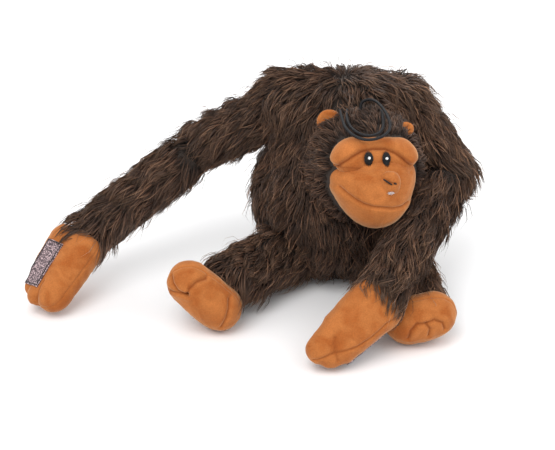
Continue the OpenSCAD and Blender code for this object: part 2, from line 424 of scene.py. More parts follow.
def tape_material(name):
    """Fastening tape: a speckle of grey, pink and dark hooks."""
    f = Finish(name, Roughness=0.6)
    hooks = f.texture("Voronoi", output="Distance", Scale=900)
    speckle = f.texture("Noise", Scale=760, Detail=2, Roughness=0.6)
    f.colour(
        f.ramp(
            speckle,
            (0.40, (0.03, 0.02, 0.025)),
            (0.48, (0.10, 0.065, 0.075)),
            (0.55, (0.27, 0.19, 0.2)),
            (0.64, (0.62, 0.46, 0.47)),
        )
    )
    f.bump(hooks, 0.8, 0.0006)


def wadding_material(name):
    """Loose white polyester fibre."""
    f = Finish(name, Roughness=0.95)
    fibre = f.texture("Noise", Scale=260, Detail=6, Roughness=0.7)
    f.colour(f.ramp(fibre, (0.3, (0.62, 0.6, 0.56)), (0.7, (0.9, 0.88, 0.85))))
    f.bump(fibre, 0.8, 0.002)


def backing_material(name, colour):
    """Knitted backing cloth of the fur."""
    f = Finish(name, Roughness=0.9)
    knit = f.texture("Noise", Scale=700, Detail=3, Roughness=0.6)
    f.colour(f.ramp(knit, (0.3, shaded(colour, 0.55)), (0.7, shaded(colour, 1.25))))
    f.bump(knit, 0.6, 0.0008)


def clear_plastic_material(name):
    """A clear moulded filament, scuffed in places."""
    f = Finish(name, Transmission_Weight=0.75, Coat_Weight=0.6)
    scuff = f.texture("Noise", Scale=500, Detail=2, Roughness=0.6)
    f.lead(f.ramp(scuff, (0.3, grey(0.04)), (0.7, grey(0.16))), f.shader.inputs["Roughness"])
    f.colour((0.93, 0.9, 0.92, 1))


def paper_material(name, colour):
    """Matt studio paper."""
    f = Finish(name, Roughness=0.95, Specular_IOR_Level=0.1)
    grain = f.texture("Noise", Scale=3, Detail=2, Roughness=0.6)
    f.colour(f.ramp(grain, (0.0, shaded(colour, 0.985)), (1.0, colour)))
    return f.material


def finishes():
    """The finishes, made once and shared."""
    if "fur_coat" not in bpy.data.materials:
        coat_look = bpy.context.scene.monkey_coat
        look = bpy.context.scene.monkey_velour
        colour, deep = tuple(look.colour), tuple(look.deep_colour)
        hair = (coat_look.root_shade_colour, coat_look.hair_colour, coat_look.tip_highlight_colour)
        fur_material("fur_coat", *map(tuple, hair))
        backing_material("fur_backing", (0.028, 0.019, 0.014))
        backing_material("seat_cloth", (0.02, 0.015, 0.012))
        velour_material("face_velour", colour, deep, 0.0)
        velour_material("hand_velour", colour, deep, 3.1)
        velour_material("foot_velour", shaded(colour, 0.98), deep, 7.7)
        thread_material("black_embroidery", (0.004, 0.004, 0.005))
        thread_material("white_embroidery", (0.9, 0.9, 0.88))
        cord_material("elastic_braid")
        tape_material("hook_tape")
        wadding_material("polyester_wadding")
        clear_plastic_material("clear_plastic")
    return bpy.data.materials


# ---------------------------------------------------------------- fur


def scatter(mesh, per_mm2, seed):
    """Points spread evenly over a mesh, with normals, in millimetres."""
    rng = np.random.default_rng(seed)
    mesh.calc_loop_triangles()
    tri = np.empty(len(mesh.loop_triangles) * 3, np.int32)
    mesh.loop_triangles.foreach_get("vertices", tri)
    tri = tri.reshape(-1, 3)
    p = get_points(mesh) / MM
    a, b, c = p[tri[:, 0]], p[tri[:, 1]], p[tri[:, 2]]
    cr = np.cross(b - a, c - a)
    area = np.linalg.norm(cr, axis=1) / 2
    want = area * per_mm2
    count = np.floor(want + rng.random(len(want))).astype(int)
    idx = np.repeat(np.arange(len(tri)), count)
    u, v = rng.random(len(idx)), rng.random(len(idx))
    flip = u + v > 1
    u[flip], v[flip] = 1 - u[flip], 1 - v[flip]
    pts = a[idx] + (b - a)[idx] * u[:, None] + (c - a)[idx] * v[:, None]
    n = cr[idx] / np.maximum(np.linalg.norm(cr[idx], axis=1), 1e-9)[:, None]
    return pts, n


def comb(n, want):
    """Directions flattened on to the skin."""
    d = want - n * (want * n).sum(1)[:, None]
    return d / np.maximum(np.linalg.norm(d, axis=1), 1e-6)[:, None]


def floor_clamp(p, low=0.7):
    p[:, 2] = np.maximum(p[:, 2], low)
    return p


def grow_locks(
    pts, n, d, length, rise, seed, skin, keep_out=None, width=1.0, clump=11, droop=0.1, fly=0.09
):
    """Centre lines of tapering locks, combed along d, drawn into clumps, resting on the skin."""
    rng = np.random.default_rng(seed)
    m = len(pts)
    side = np.cross(n, d)
    sway = waves(pts, 30, seed + 1) * 0.55 + rng.normal(0, 0.2, m)
    d = d + side * sway[:, None]
    d /= np.linalg.norm(d, axis=1)[:, None]
    long = length * (0.72 + 0.5 * rng.random(m)) * (1 + 0.18 * waves(pts, 18, seed + 2, 2))
    lift = rise * (0.4 + 0.9 * rng.random(m)) * (1 + 0.45 * waves(pts, 22, seed + 4, 2))
    stray = rng.random(m) < fly
    long = np.where(stray, long * 1.25, long)
    lift = np.where(stray, lift * 1.7, lift)
    curl = rng.normal(0, 0.15, m) + 0.3 * waves(pts, 10, seed + 3, 2)
    steps = (0.0, 0.3, 0.65, 1.0)
    line = []
    for t in steps:
        up = lift * (1 - (1 - min(1, t * 1.5)) ** 2) * (1 - 0.35 * t * t)
        q = pts + d * (long * t)[:, None] + n * (up - 1.0 * (t == 0))[:, None]
        q = q + side * (long * curl * t * t)[:, None]
        q[:, 2] -= long * droop * t * t
        line.append(q)
    # clumps: the nearest lock heads draw their neighbours' tips together
    heads = rng.choice(m, max(1, int(m / max(2.0, clump))), replace=False)
    tree = KDTree(len(heads))
    for k, h in enumerate(heads):
        tree.insert(pts[h], k)
    tree.balance()
    near = np.array([tree.find(q)[1] for q in pts])
    own = heads[near]
    pull = np.where(stray, 0.1, 0.5 + 0.42 * rng.random(m))
    for k, t in enumerate(steps):
        if t:
            w = (pull * t ** 1.3)[:, None]
            off = line[k] - line[k][own]
            line[k] = line[k] - off * w
    for k, t in enumerate(steps[1:], 1):
        if skin is not None:
            for _ in range(2):
                s = skin(line[k])
                low = 1.2 * (1 + t)
                deep = s < low
                if deep.any():
                    g = slope(skin, line[k][deep])
                    line[k][deep] += g * (low - s[deep])[:, None]
        floor_clamp(line[k], 0.8)
    line[0][:, 2] = np.maximum(line[0][:, 2], 0.8)
    good = np.ones(m, bool)
    if keep_out is not None:
        for k in (0, 2, 3):
            good &= keep_out(line[k]) > 0
    half = width * (0.55 + 0.5 * rng.random(m)) * np.where(stray, 0.45, 1.0)
    tint = np.clip(0.5 + 0.2 * rng.normal(size=m) + 0.18 * waves(pts, 28, seed + 5), 0, 0.88)
    tint = np.where(stray & (rng.random(m) < 0.55), 0.9 + 0.1 * rng.random(m), tint)
    return [q[good] for q in line], half[good], tint[good]


def locks_mesh(name, line, half, tint):
    """One mesh of closed three-sided tapering locks."""
    m = len(half)
    steps = len(line)
    axis = line[-1] - line[0]
    axis /= np.maximum(np.linalg.norm(axis, axis=1), 1e-6)[:, None]
    ref = np.where(np.abs(axis[:, 2:3]) > 0.9, np.array([[1.0, 0, 0]]), np.array([[0, 0, 1.0]]))
    s1 = np.cross(axis, ref)
    s1 /= np.linalg.norm(s1, axis=1)[:, None]
    s2 = np.cross(axis, s1)
    rings = []
    grow = (0.8, 1.0, 0.7)
    for k in range(steps - 1):
        for c in range(3):
            a = 2 * math.pi * c / 3
            off = (s1 * math.cos(a) + s2 * math.sin(a)) * (half * grow[k])[:, None]
            rings.append(line[k] + off)
    rings.append(line[-1])
    per = len(rings)
    co = np.stack(rings, 1).reshape(-1, 3)
    base = (np.arange(m) * per)[:, None]
    quads, tris = [], [(2, 1, 0)]
    for k in range(steps - 2):
        for c in range(3):
            e = (c + 1) % 3
            quads.append((k * 3 + c, k * 3 + e, k * 3 + 3 + e, k * 3 + 3 + c))
    for c in range(3):
        tris.append(((steps - 2) * 3 + c, (steps - 2) * 3 + (c + 1) % 3, per - 1))
    q = (base[:, :, None] + np.array(quads)[None]).reshape(m, -1)
    t = (base[:, :, None] + np.array(tris)[None]).reshape(m, -1)
    loops = np.concatenate([q, t], 1).ravel()
    sizes = np.tile(np.array([4] * len(quads) + [3] * len(tris)), m)
    mesh = bpy.data.meshes.new(name)
    mesh.vertices.add(len(co))
    mesh.loops.add(len(loops))
    mesh.polygons.add(len(sizes))
    mesh.vertices.foreach_set("co", (co * MM).astype(np.float32).ravel())
    mesh.loops.foreach_set("vertex_index", loops.astype(np.int32))
    starts = np.concatenate([[0], np.cumsum(sizes)[:-1]])
    mesh.polygons.foreach_set("loop_start", starts.astype(np.int32))
    mesh.polygons.foreach_set("loop_total", sizes.astype(np.int32))
    mesh.update(calc_edges=True)
    along = np.tile(np.array([0.0] * 3 + [0.35] * 3 + [0.7] * 3 + [1.0])[:per], m)
    point_values(mesh, "along", along)
    point_values(mesh, "tint", np.repeat(tint, per))
    return mesh


def coat(
    name, body, pts, n, d, length, rise, seed, skin, keep_out=None, parts=1, split=None, **more
):
    """Fur pieces of one body, split so that none grows too heavy."""
    mats = finishes()
    line, half, tint = grow_locks(pts, n, d, length, rise, seed, skin, keep_out, **more)
    key = np.zeros(len(half), int) if split is None else split(line[0], parts)
    for k in range(parts):
        pick = key == k
        if not pick.any():
            continue
        label = name if parts == 1 else "%s_%d" % (name, k + 1)
        obj = linked(label, locks_mesh(label, [q[pick] for q in line], half[pick], tint[pick]), mats["fur_coat"])
        finish_piece(obj, body, "long_pile_fur")


def around(points, parts):
    """Sorts points into equal sectors about the belly."""
    a = np.arctan2(points[:, 1], points[:, 0])
    order = np.argsort(a)
    key = np.empty(len(a), int)
    key[order] = np.arange(len(a)) * parts // len(a)
    return key


# ---------------------------------------------------------------- whole shapes


def torso_shape(p):
    s = pod(p, BELLY, CHEST, BELLY_R - 1, CHEST_R)
    s = melt(s, oval(p, (8, 10, 144), (62, 40, 42)), 34)
    s = melt(s, ball(p, (-44, 13, 160), 25), 22)
    for side in SIDES:
        s = melt(s, ball(p, SHOULDER[side], SHOULDER_R - 1), 26)
    return np.maximum(s, 1.0 - p[:, 2])


def arm_shape(side):
    def shape(p):
        return np.minimum(
            pod(p, SHOULDER[side], ELBOW[side], SHOULDER_R, ELBOW_R),
            pod(p, ELBOW[side], WRIST[side], ELBOW_R, WRIST_R),
        )
    return shape


def leg_shape(side):
    return lambda p: pod(p, HIP[side], ANKLE[side], HIP_R, ANKLE_R)


def head_local(p):
    return (p - vec(HEAD)) @ HEAD_AXES


def brow_shape(q):
    s = pod(q, (-20, -33.5, 18.5), (21, -33, 16.5), 15.5, 15.0)
    s = melt(s, oval(q, (-22.5, -34, 18), (14.5, 15, 14.5)), 6)
    return melt(s, oval(q, (23.5, -33, 14.5), (12.5, 14, 14)), 6)


def muzzle_shape(q):
    s = melt(oval(q, (0, -25, -10), (36.5, 36, 28)), oval(q, (-0.5, -26, 0), (36.5, 30, 18)), 12)
    return melt(s, oval(q, (2, -31, -28), (22, 22, 20)), 18)


def face_shape(p):
    q = head_local(p)
    return np.minimum(brow_shape(q), muzzle_shape(q))


def hand_shape(side):
    """Mitten in the hand's own frame: z to the tip, x out of the palm."""
    tip = float(np.linalg.norm(vec(HAND_TIP[side]) - vec(WRIST[side])))

    def right(q):
        s = pod(q, (0, -6, 20), (-1, -8, tip * 0.93), 19.5, 16.5)
        s = melt(s, pod(q, (2, 15, 20), (2, 14, tip * 0.72), 19, 15.5), 6)
        s = melt(s, pod(q, (4, 4, 50), (4, 3.5, tip + 3), 13, 9.5), 2.5)
        return melt(s, pod(q, (4, 13, 50), (4, 14.5, tip - 3), 12, 9), 2.5)

    def left(q):
        s = pod(q, (-1, 1, 22), (-2, 1, tip * 0.7), 20.5, 18)
        s = melt(s, pod(q, (9, 8, 20), (6, 6, tip - 12), 18, 14), 5)
        s = melt(s, pod(q, (-4, -1, tip * 0.7), (-4, -0.5, tip + 2), 15.5, 12.5), 2.5)
        return melt(s, pod(q, (6, 5, tip * 0.7), (5, 4, tip - 1), 13, 11), 2.5)

    body = right if side == "right" else left

    def shape(q):
        s = body(q)
        s = np.maximum(s, 8.0 - q[:, 2])
        return np.maximum(s, (WRIST_R + 0.9) - np.linalg.norm(q, axis=1))
    return shape


def foot_shape(side):
    """Stuffed foot in its own frame: z from heel to toe, x out of the sole."""
    span = float(np.linalg.norm(vec(TOE[side]) - vec(HEEL[side])))
    ankle = (vec(ANKLE[side]) - vec(HEEL[side])) @ foot_axes(side)

    def shape(q):
        s = pod(q, (0, 0, 0), (0, 0, span), HEEL_R, TOE_R)
        s = melt(s, oval(q, (6, 1, span * 0.45), (16, 18.5, 27)), 6)
        return np.maximum(s, (ANKLE_R + 0.9) - np.linalg.norm(q - ankle, axis=1))
    return shape


def carve(amount, far, width):
    """Depth of a rounded crease of that width at a distance from its line."""
    return -amount * mark(far, width)


def mark(far, width):
    """How much of a crease's shade is left at a distance from its line."""
    return np.exp(-((far / width) ** 2))


# Stores the painted crease shade, 0 to 1, by which the velour is darkened.
def paint_crease_shade(obj, values):
    point_values(obj.data, "crease", np.clip(values, 0, 1))


# ---------------------------------------------------------------- settings


def distance(name, description, default, low, high):
    return bpy.props.FloatProperty(
        name=name,
        description=description,
        default=default,
        min=low,
        max=high,
        subtype="DISTANCE",
        unit="LENGTH",
    )


def tint_of(name, description, default):
    return bpy.props.FloatVectorProperty(
        name=name, description=description, default=default, subtype="COLOR", min=0, max=1
    )


class MONKEY_PG_coat(bpy.types.PropertyGroup):
    """The long pile"""

    pile: distance("Pile", "Length of the pile on the body", 0.021, 0.01, 0.03)
    lock: distance("Lock", "Half width of a lock of hair", 0.00062, 0.0003, 0.002)
    thickness: bpy.props.FloatProperty(
        name="Thickness",
        description="Locks on each square millimetre of skin",
        default=0.3,
        min=0.02,
        max=1.0,
    )
    # The root colour is painted shade deep in the pile.
    root_shade_colour: tint_of("Root colour", "Colour of the hair at the root", (0.012, 0.006, 0.0035))
    hair_colour: tint_of(
        "Hair colour", "Colour of the hair along its length", (0.060, 0.031, 0.019)
    )
    # The tip colour is a painted highlight where light catches the tips.
    tip_highlight_colour: tint_of("Tip colour", "Colour of the hair at the tip", (0.145, 0.087, 0.055))


class MONKEY_PG_velour(bpy.types.PropertyGroup):
    """The short velour"""

    colour: tint_of("Colour", "Colour of the velour", (0.385, 0.128, 0.033))
    deep_colour: tint_of("Deep colour", "Colour where the nap lies away", (0.32, 0.088, 0.018))
    seam_depth: distance("Seam depth", "Depth of the sewn creases", 0.0018, 0.0, 0.004)


class MONKEY_PG_fittings(bpy.types.PropertyGroup):
    """Loop, patches and stage"""

    cord: distance("Cord", "Diameter of the elastic cord", 0.0026, 0.002, 0.004)
    patch_width: distance("Patch width", "Width of a fastening patch", 0.020, 0.01, 0.03)
    patch_length: distance("Patch length", "Length of a fastening patch", 0.046, 0.02, 0.06)
    floor_colour: tint_of("Floor colour", "Colour of the floor", (0.88, 0.88, 0.885))


# ---------------------------------------------------------------- operators


class MONKEY_OT_camera(bpy.types.Operator):
    """Stand the camera in front of the monkey and above it"""

    bl_idname = "monkey.camera"
    bl_label = "Camera"

    def execute(self, context):
        data = bpy.data.cameras.new("camera")
        data.lens, data.sensor_width = 81.08, 36
        data.clip_start, data.clip_end = 0.05, 20
        cam = bpy.data.objects.new("camera", data)
        cam.location = (-0.0605, -1.08866, 0.61509)
        cam.rotation_euler = (math.radians(62), 0, 0)
        context.collection.objects.link(cam)
        context.scene.camera = cam
        return {"FINISHED"}


def smooth_route(points, steps):
    """Points along a smooth curve through the given ones."""
    p = [vec(q) for q in points]
    out = []
    for i in range(len(p) - 1):
        a, b, c, d = p[max(i - 1, 0)], p[i], p[i + 1], p[min(i + 2, len(p) - 1)]
        for k in range(steps):
            u = k / steps
            square = (2 * a - 5 * b + 4 * c - d) * u * u
            cube = (3 * b - a - 3 * c + d) * u**3
            out.append(0.5 * (2 * b + (c - a) * u + square + cube))
    out.append(p[-1])
    return np.array(out)


class MONKEY_OT_hanging_loop(bpy.types.Operator):
    """Lay the elastic cord on the head in two laps"""

    bl_idname = "monkey.hanging_loop"
    bl_label = "Hanging loop"

    def execute(self, context):
        d = context.scene.monkey_fittings.cord
        path = smooth_route(CORD_ROUTE, 6)
        curve = bpy.data.curves.new("elastic_loop", "CURVE")
        curve.dimensions = "3D"
        spline = curve.splines.new("POLY")
        spline.points.add(len(path) - 1)
        for point, p in zip(spline.points, path):
            point.co = (*(p * MM), 1)
        curve.bevel_depth = d / 2
        curve.bevel_resolution = 4
        curve.use_fill_caps = True
        obj = bpy.data.objects.new("elastic_loop", curve)
        context.collection.objects.link(obj)
        curve.materials.append(finishes()["elastic_braid"])
        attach(obj, "loop")
        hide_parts("hanging_loop")
        return {"FINISHED"}


class MONKEY_OT_torso(bpy.types.Operator):
    """Sew the body's cover and grow its fur"""

    bl_idname = "monkey.torso"
    bl_label = "Body and its fur"

    def execute(self, context):
        look = context.scene.monkey_coat
        mats = finishes()

        def puckers(p, n):
            return p + n * (waves(p, 45, 11, 2) * 0.8)[:, None]

        skin = star_cover(
            "torso_cover", (0, 0, 88), torso_shape, 6, mats["fur_backing"], 130, shaping=puckers
        )
        finish_piece(skin, "torso", "long_pile_fur", "torso_fur")
        pts, n = scatter(skin.data, look.thickness * 0.95, 21)
        hidden = n[:, 2] < -0.8
        pts, n = pts[~hidden], n[~hidden]

        def keep_out(p):
            s = ball(p, HEAD, HEAD_R + 1)
            s = np.minimum(s, face_shape(p) - 1.5)
            for side in SIDES:
                s = np.minimum(s, arm_shape(side)(p) + 1)
                s = np.minimum(s, leg_shape(side)(p) + 1)
            return s

        out = np.stack([pts[:, 0], pts[:, 1], np.zeros(len(pts))], 1)
        out /= np.maximum(np.linalg.norm(out, axis=1), 1)[:, None]
        want = np.array([[0, 0, -1.0]]) + out * 0.45
        d = comb(n, want)
        coat(
            "torso_fur_coat",
            "torso",
            pts,
            n,
            d,
            look.pile / MM,
            8.0,
            22,
            torso_shape,
            keep_out,
            parts=3,
            split=around,
            width=look.lock / MM,
        )
        return {"FINISHED"}


class MONKEY_OT_head(bpy.types.Operator):
    """Sew the furry hood round the head"""

    bl_idname = "monkey.head"
    bl_label = "Hood and its fur"

    def execute(self, context):
        look = context.scene.monkey_coat
        mats = finishes()
        hood = star_cover(
            "hood_cover", HEAD, lambda p: ball(p, HEAD, HEAD_R - 0.5), 6, mats["fur_backing"], 60
        )
        finish_piece(hood, "head", "long_pile_fur", "hood_fur")
        pts, n = scatter(hood.data, look.thickness * 1.25, 31)

        def keep_out(p):
            s = face_shape(p) - 0.6
            s = np.minimum(s, torso_shape(p) + 3)
            for a, b in zip(CORD_ROUTE[:-1], CORD_ROUTE[1:]):
                s = np.minimum(s, pod(p, a, b, 2.6, 2.6))
            for side in SIDES:
                s = np.minimum(s, arm_shape(side)(p) + 2)
            return s

        middle = vec(HEAD) + HEAD_AXES @ vec((1, -44, 2))
        away = pts - middle
        away /= np.linalg.norm(away, axis=1)[:, None]
        d = comb(n, away + np.array([[0, 0.1, -0.25]]))
        near = np.clip((ball(pts, middle, 0) - 30) / 30, 0, 1)
        coat(
            "hood_fur_coat",
            "head",
            pts,
            n,
            d,
            8 + 9 * near,
            3.0 + 3.5 * near,
            32,
            lambda p: ball(p, HEAD, HEAD_R),
            keep_out,
            width=look.lock / MM * 0.85,
            droop=0.08,
        )
        return {"FINISHED"}


class MONKEY_OT_face(bpy.types.Operator):
    """Shape the velour brow, muzzle and nose with their sewn creases"""

    bl_idname = "monkey.face"
    bl_label = "Face"

    def execute(self, context):
        mats = finishes()
        depth = context.scene.monkey_velour.seam_depth / MM
        basis = (HEAD, HEAD_AXES)
        creases = {}

        def brow(p, n):
            front = p[:, 1] < -30
            q = p[:, (0, 2)]
            c1 = to_line(q, BROW_CREASE)
            c2 = to_line(q, EYE_SEAM)
            line = np.array(BROW_CREASE, float)
            over = p[:, 2] - np.interp(p[:, 0], line[:, 0], line[:, 1])
            roll = np.clip(over / 4, 0, 1) * np.exp(-((over - 6) / 7) ** 2)
            socket = np.clip(-over / 3, 0, 1)
            move = carve(depth * 1.3, c1, 1.6) + 1.6 * roll - 1.2 * socket
            move = np.where(front, move, 0) + waves(p, 16, 41) * 0.25
            # Painted shade along the brow crease and the eye seam.
            shade = mark(c1, 1.1) * 0.8 + mark(c2, 1.0) * 0.5
            creases["brow"] = np.where(front, shade, 0)
            return p + n * move[:, None]

        obj = star_cover(
            "brow_velour",
            (0, -32, 19),
            brow_shape,
            7,
            mats["face_velour"],
            60,
            basis=basis,
            shaping=brow,
        )
        paint_crease_shade(obj, creases["brow"])
        finish_piece(obj, "head", "velour", "brow_panel", "brow_stuffing")

        def muzzle(p, n):
            front = p[:, 1] < -24
            q = p[:, (0, 2)]
            c1 = to_line(q, SMILE)
            c2 = to_line(q, EYE_SEAM)
            line = np.array(SMILE, float)
            under = np.interp(p[:, 0], line[:, 0], line[:, 1]) - p[:, 2]
            lip = np.clip(under / 3, 0, 1) * np.exp(-((under - 5) / 6) ** 2)
            chin_seam = np.exp(-((p[:, 0] - 2) / 0.9) ** 2) * (p[:, 2] < -28)
            move = carve(depth * 0.9, c1, 1.7) + 0.9 * lip + carve(
                depth * 0.6, c2, 1.4
            ) - 0.25 * chin_seam
            move = np.where(front, move, 0) + waves(p, 22, 42) * 0.3
            # Painted shade along the smile crease.
            creases["muzzle"] = np.where(front, np.exp(-((c1 / 1.1) ** 2)) * 0.6, 0)
            return p + n * move[:, None]

        obj = star_cover(
            "muzzle_velour",
            (0, -24, -9),
            muzzle_shape,
            7,
            mats["face_velour"],
            70,
            basis=basis,
            shaping=muzzle,
        )
        paint_crease_shade(obj, creases["muzzle"])
        finish_piece(obj, "head", "velour", "muzzle_panel", "muzzle_stuffing")

        def nose(q):
            s = oval(q, NOSE_PLACE, (9.5, 7.0, 8.5))
            return melt(s, oval(q, (7.5, -55, -6), (8, 7, 7)), 6)

        def nose_folds(p, n):
            groove = to_line(p[:, (0, 2)], [(0, 4.5), (5, 1), (10, 0)])
            # Painted shade in the groove across the nose.
            creases["nose"] = np.exp(-((groove / 1.0) ** 2)) * 0.5 * (p[:, 1] < -58)
            return p + n * (
                carve(0.9, groove, 1.3) * (p[:, 1] < -55) + waves(p, 9, 43) * 0.2
            )[:, None]

        obj = star_cover(
            "nose_velour",
            (6.8, -54, -1),
            nose,
            6,
            mats["face_velour"],
            30,
            basis=basis,
            shaping=nose_folds,
        )
        paint_crease_shade(obj, creases["nose"])
        finish_piece(obj, "head", "velour", "nose")
        return {"FINISHED"}


def face_front(x, z):
    """Where a line straight back at (x, z) meets the face, in the head's frame."""
    p = np.array([[x, -80.0, z]], float)
    for _ in range(80):
        s = min(float(brow_shape(p)[0]), float(muzzle_shape(p)[0]))
        p[0, 1] += s * 0.8
        if abs(s) < 0.01:
            break
    return p[0]


def stitched_oval(name, x, z, width, height, proud, material, rows=14, lean=0.0):
    """An embroidered oval: satin threads laid side by side over a low mound."""
    verts, faces = [], []
    sides, ends = 6, 7
    for i in range(rows):
        u = (i + 0.5) / rows * 2 - 1
        half = height / 2 * math.sqrt(max(0.02, 1 - u * u)) * (1 + 0.05 * math.sin(i * 2.4))
        cx = x + u * width / 2
        r = width / rows * 0.62
        start = len(verts)
        for e in range(ends):
            v = (e / (ends - 1)) * 2 - 1
            zz = z + v * half
            xx = cx + lean * v * half
            base = face_front(xx, zz)
            crown = proud * (1 - v * v * 0.8) * (1 - u * u * 0.6)
            taper = math.sqrt(max(0.05, 1 - abs(v) ** 6))
            for k in range(sides):
                a = 2 * math.pi * k / sides
                depth = base[1] - 0.05 - crown - math.sin(a) * r * taper
                verts.append((xx + math.cos(a) * r * taper, depth, zz))
        for e in range(ends - 1):
            for k in range(sides):
                n = (k + 1) % sides
                low, high = start + e * sides, start + (e + 1) * sides
                faces.append((low + k, low + n, high + n, high + k))
        faces.append(tuple(start + k for k in reversed(range(sides))))
        faces.append(tuple(start + (ends - 1) * sides + k for k in range(sides)))
    mesh = bpy.data.meshes.new(name)
    p = vec(HEAD) + np.array(verts) @ HEAD_AXES.T
    mesh.from_pydata([tuple(q * MM) for q in p], [], faces)
    clear_selection()
    obj = linked(name, mesh, material)
    bpy.context.view_layer.objects.active = obj
    obj.select_set(True)
    bpy.ops.object.mode_set(mode="EDIT")
    bpy.ops.mesh.select_all(action="SELECT")
    bpy.ops.mesh.normals_make_consistent(inside=False)
    bpy.ops.object.mode_set(mode="OBJECT")
    obj.select_set(False)
    return obj


class MONKEY_OT_eyes(bpy.types.Operator):
    """Embroider the eyes and their highlights"""

    bl_idname = "monkey.eyes"
    bl_label = "Eyes and nostrils"

    def execute(self, context):
        mats = finishes()
        for (x, z), side in zip(EYE_PLACES, SIDES):
            w = 8.2 if side == "right" else 7.4
            eye = stitched_oval(
                "eye_" + side + "_stitching", x, z, w, 13.2, 0.75, mats["black_embroidery"], 14
            )
            finish_piece(eye, "head", "black_thread", "eye_" + side)
        white = mats["white_embroidery"]
        (x1, z1), (x2, z2) = EYE_PLACES
        glint = stitched_oval("eye_glints", x1 + 0.4, z1 + 0.6, 2.6, 3.4, 1.9, white, 5)
        other = stitched_oval("eye_glint_left", x2 + 0.2, z2 + 0.3, 2.6, 3.2, 1.9, white, 5)
        finish_piece(glint, "head", "white_thread", "eye_highlights")
        finish_piece(other, "head", "white_thread")
        return {"FINISHED"}


def thread_run(name, points, radius, material):
    """A short bold stitch that follows points in the head's frame."""
    curve = bpy.data.curves.new(name, "CURVE")
    curve.dimensions = "3D"
    for run in points:
        s = curve.splines.new("POLY")
        s.points.add(len(run) - 1)
        for point, q in zip(s.points, run):
            p = vec(HEAD) + HEAD_AXES @ vec(q)
            point.co = (*(p * MM), 1)
    curve.bevel_depth = radius * MM
    curve.bevel_resolution = 3
    curve.use_fill_caps = True
    obj = bpy.data.objects.new(name, curve)
    bpy.context.collection.objects.link(obj)
    curve.materials.append(material)
    return obj


class MONKEY_OT_nostrils(bpy.types.Operator):
    """Stitch the nostrils and set the clear tag pin"""

    bl_idname = "monkey.nostrils"
    bl_label = "Nostrils and tag pin"

    def execute(self, context):
        mats = finishes()
        runs = []
        for k in range(5):
            a = k / 4
            x = 0.6 + 4.4 * a
            lower = (x + 1.5, -64.2, 2.4 - 3.0 * a)
            runs.append([(x - 1.4, -63.6, 4.6 - 3.2 * a), (x, -64.6, 4.0 - 3.4 * a), lower])
        runs.append([(8.6, -63.9, 0.4), (9.6, -63.8, -0.1), (10.8, -63.2, -0.6)])
        obj = thread_run("nostril_threads", runs, 0.62, mats["black_embroidery"])
        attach(obj, "head")
        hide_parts("nostril_stitching")

        def bead(q):
            s = oval(q, (6.2, -62.6, -8.6), (3.1, 1.7, 1.5))
            return melt(s, pod(q, (7.4, -60, -8.4), (7.0, -64.0, -8.2), 0.8, 0.7), 1.2)

        pin = star_cover(
            "tag_pin_bead",
            (6.2, -62.6, -8.6),
            bead,
            4,
            mats["clear_plastic"],
            8,
            basis=(HEAD, HEAD_AXES),
        )
        finish_piece(pin, "head", "clear_pin", "tag_pin")
        return {"FINISHED"}


class MONKEY_OT_ears(bpy.types.Operator):
    """Make the two small folded ears"""

    bl_idname = "monkey.ears"
    bl_label = "Ears"

    def execute(self, context):
        mats = finishes()
        places = {"right": (-28.5, 14, 40), "left": (37, -7.5, 32)}
        for side in SIDES:
            out = unit(places[side])
            shrink = 1.0 if side == "right" else 0.66
            middle = vec(places[side])
            m = axes(out, (0, -1, 0))

            def ear(q, k=shrink):
                s = oval(q, (0, 0, 0.5 * k), (3.6, 11.0 * k, 10.5 * k))
                s = melt(s, oval(q, (0.8, 0, -4 * k), (3.4, 8.5 * k, 6 * k)), 3)
                return np.maximum(s, -4.2 - q[:, 2])

            folds = {}

            def pleat(p, n, folds=folds):
                front = p[:, 0] > 0
                mid = np.abs(p[:, 1] + 1.5 + 0.15 * p[:, 2])
                # Painted shade in the fold of the ear.
                shade = mark(mid, 1.0) * 0.7 * np.clip((7 - p[:, 2]) / 6, 0, 1)
                folds["v"] = np.where(front, shade, 0)
                cup = np.where(
                    front, -1.3 * np.exp(-((p[:, 1] / 6) ** 2 + ((p[:, 2] - 1) / 6) ** 2)), 0
                )
                groove = np.where(
                    front, carve(1.4, mid, 1.1) * np.clip((8 - p[:, 2]) / 8, 0, 1), 0
                )
                return p + n * (cup + groove + waves(p, 8, 51) * 0.25)[:, None]

            basis = (vec(HEAD) + HEAD_AXES @ middle, HEAD_AXES @ m)
            obj = star_cover(
                "ear_velour_" + side,
                (0, 0, 0),
                ear,
                6,
                mats["face_velour"],
                20,
                basis=basis,
                shaping=pleat,
            )
            paint_crease_shade(obj, folds["v"])
            finish_piece(obj, "ear_flap_" + side, "velour", "ear_" + side)
        return {"FINISHED"}


def limb_wants(pts, a, b, down=0.35):
    """Comb direction along a limb from a to b, with a little weight."""
    along = unit(vec(b) - vec(a))
    return np.tile(along, (len(pts), 1)) + np.array([[0, 0, -down]])


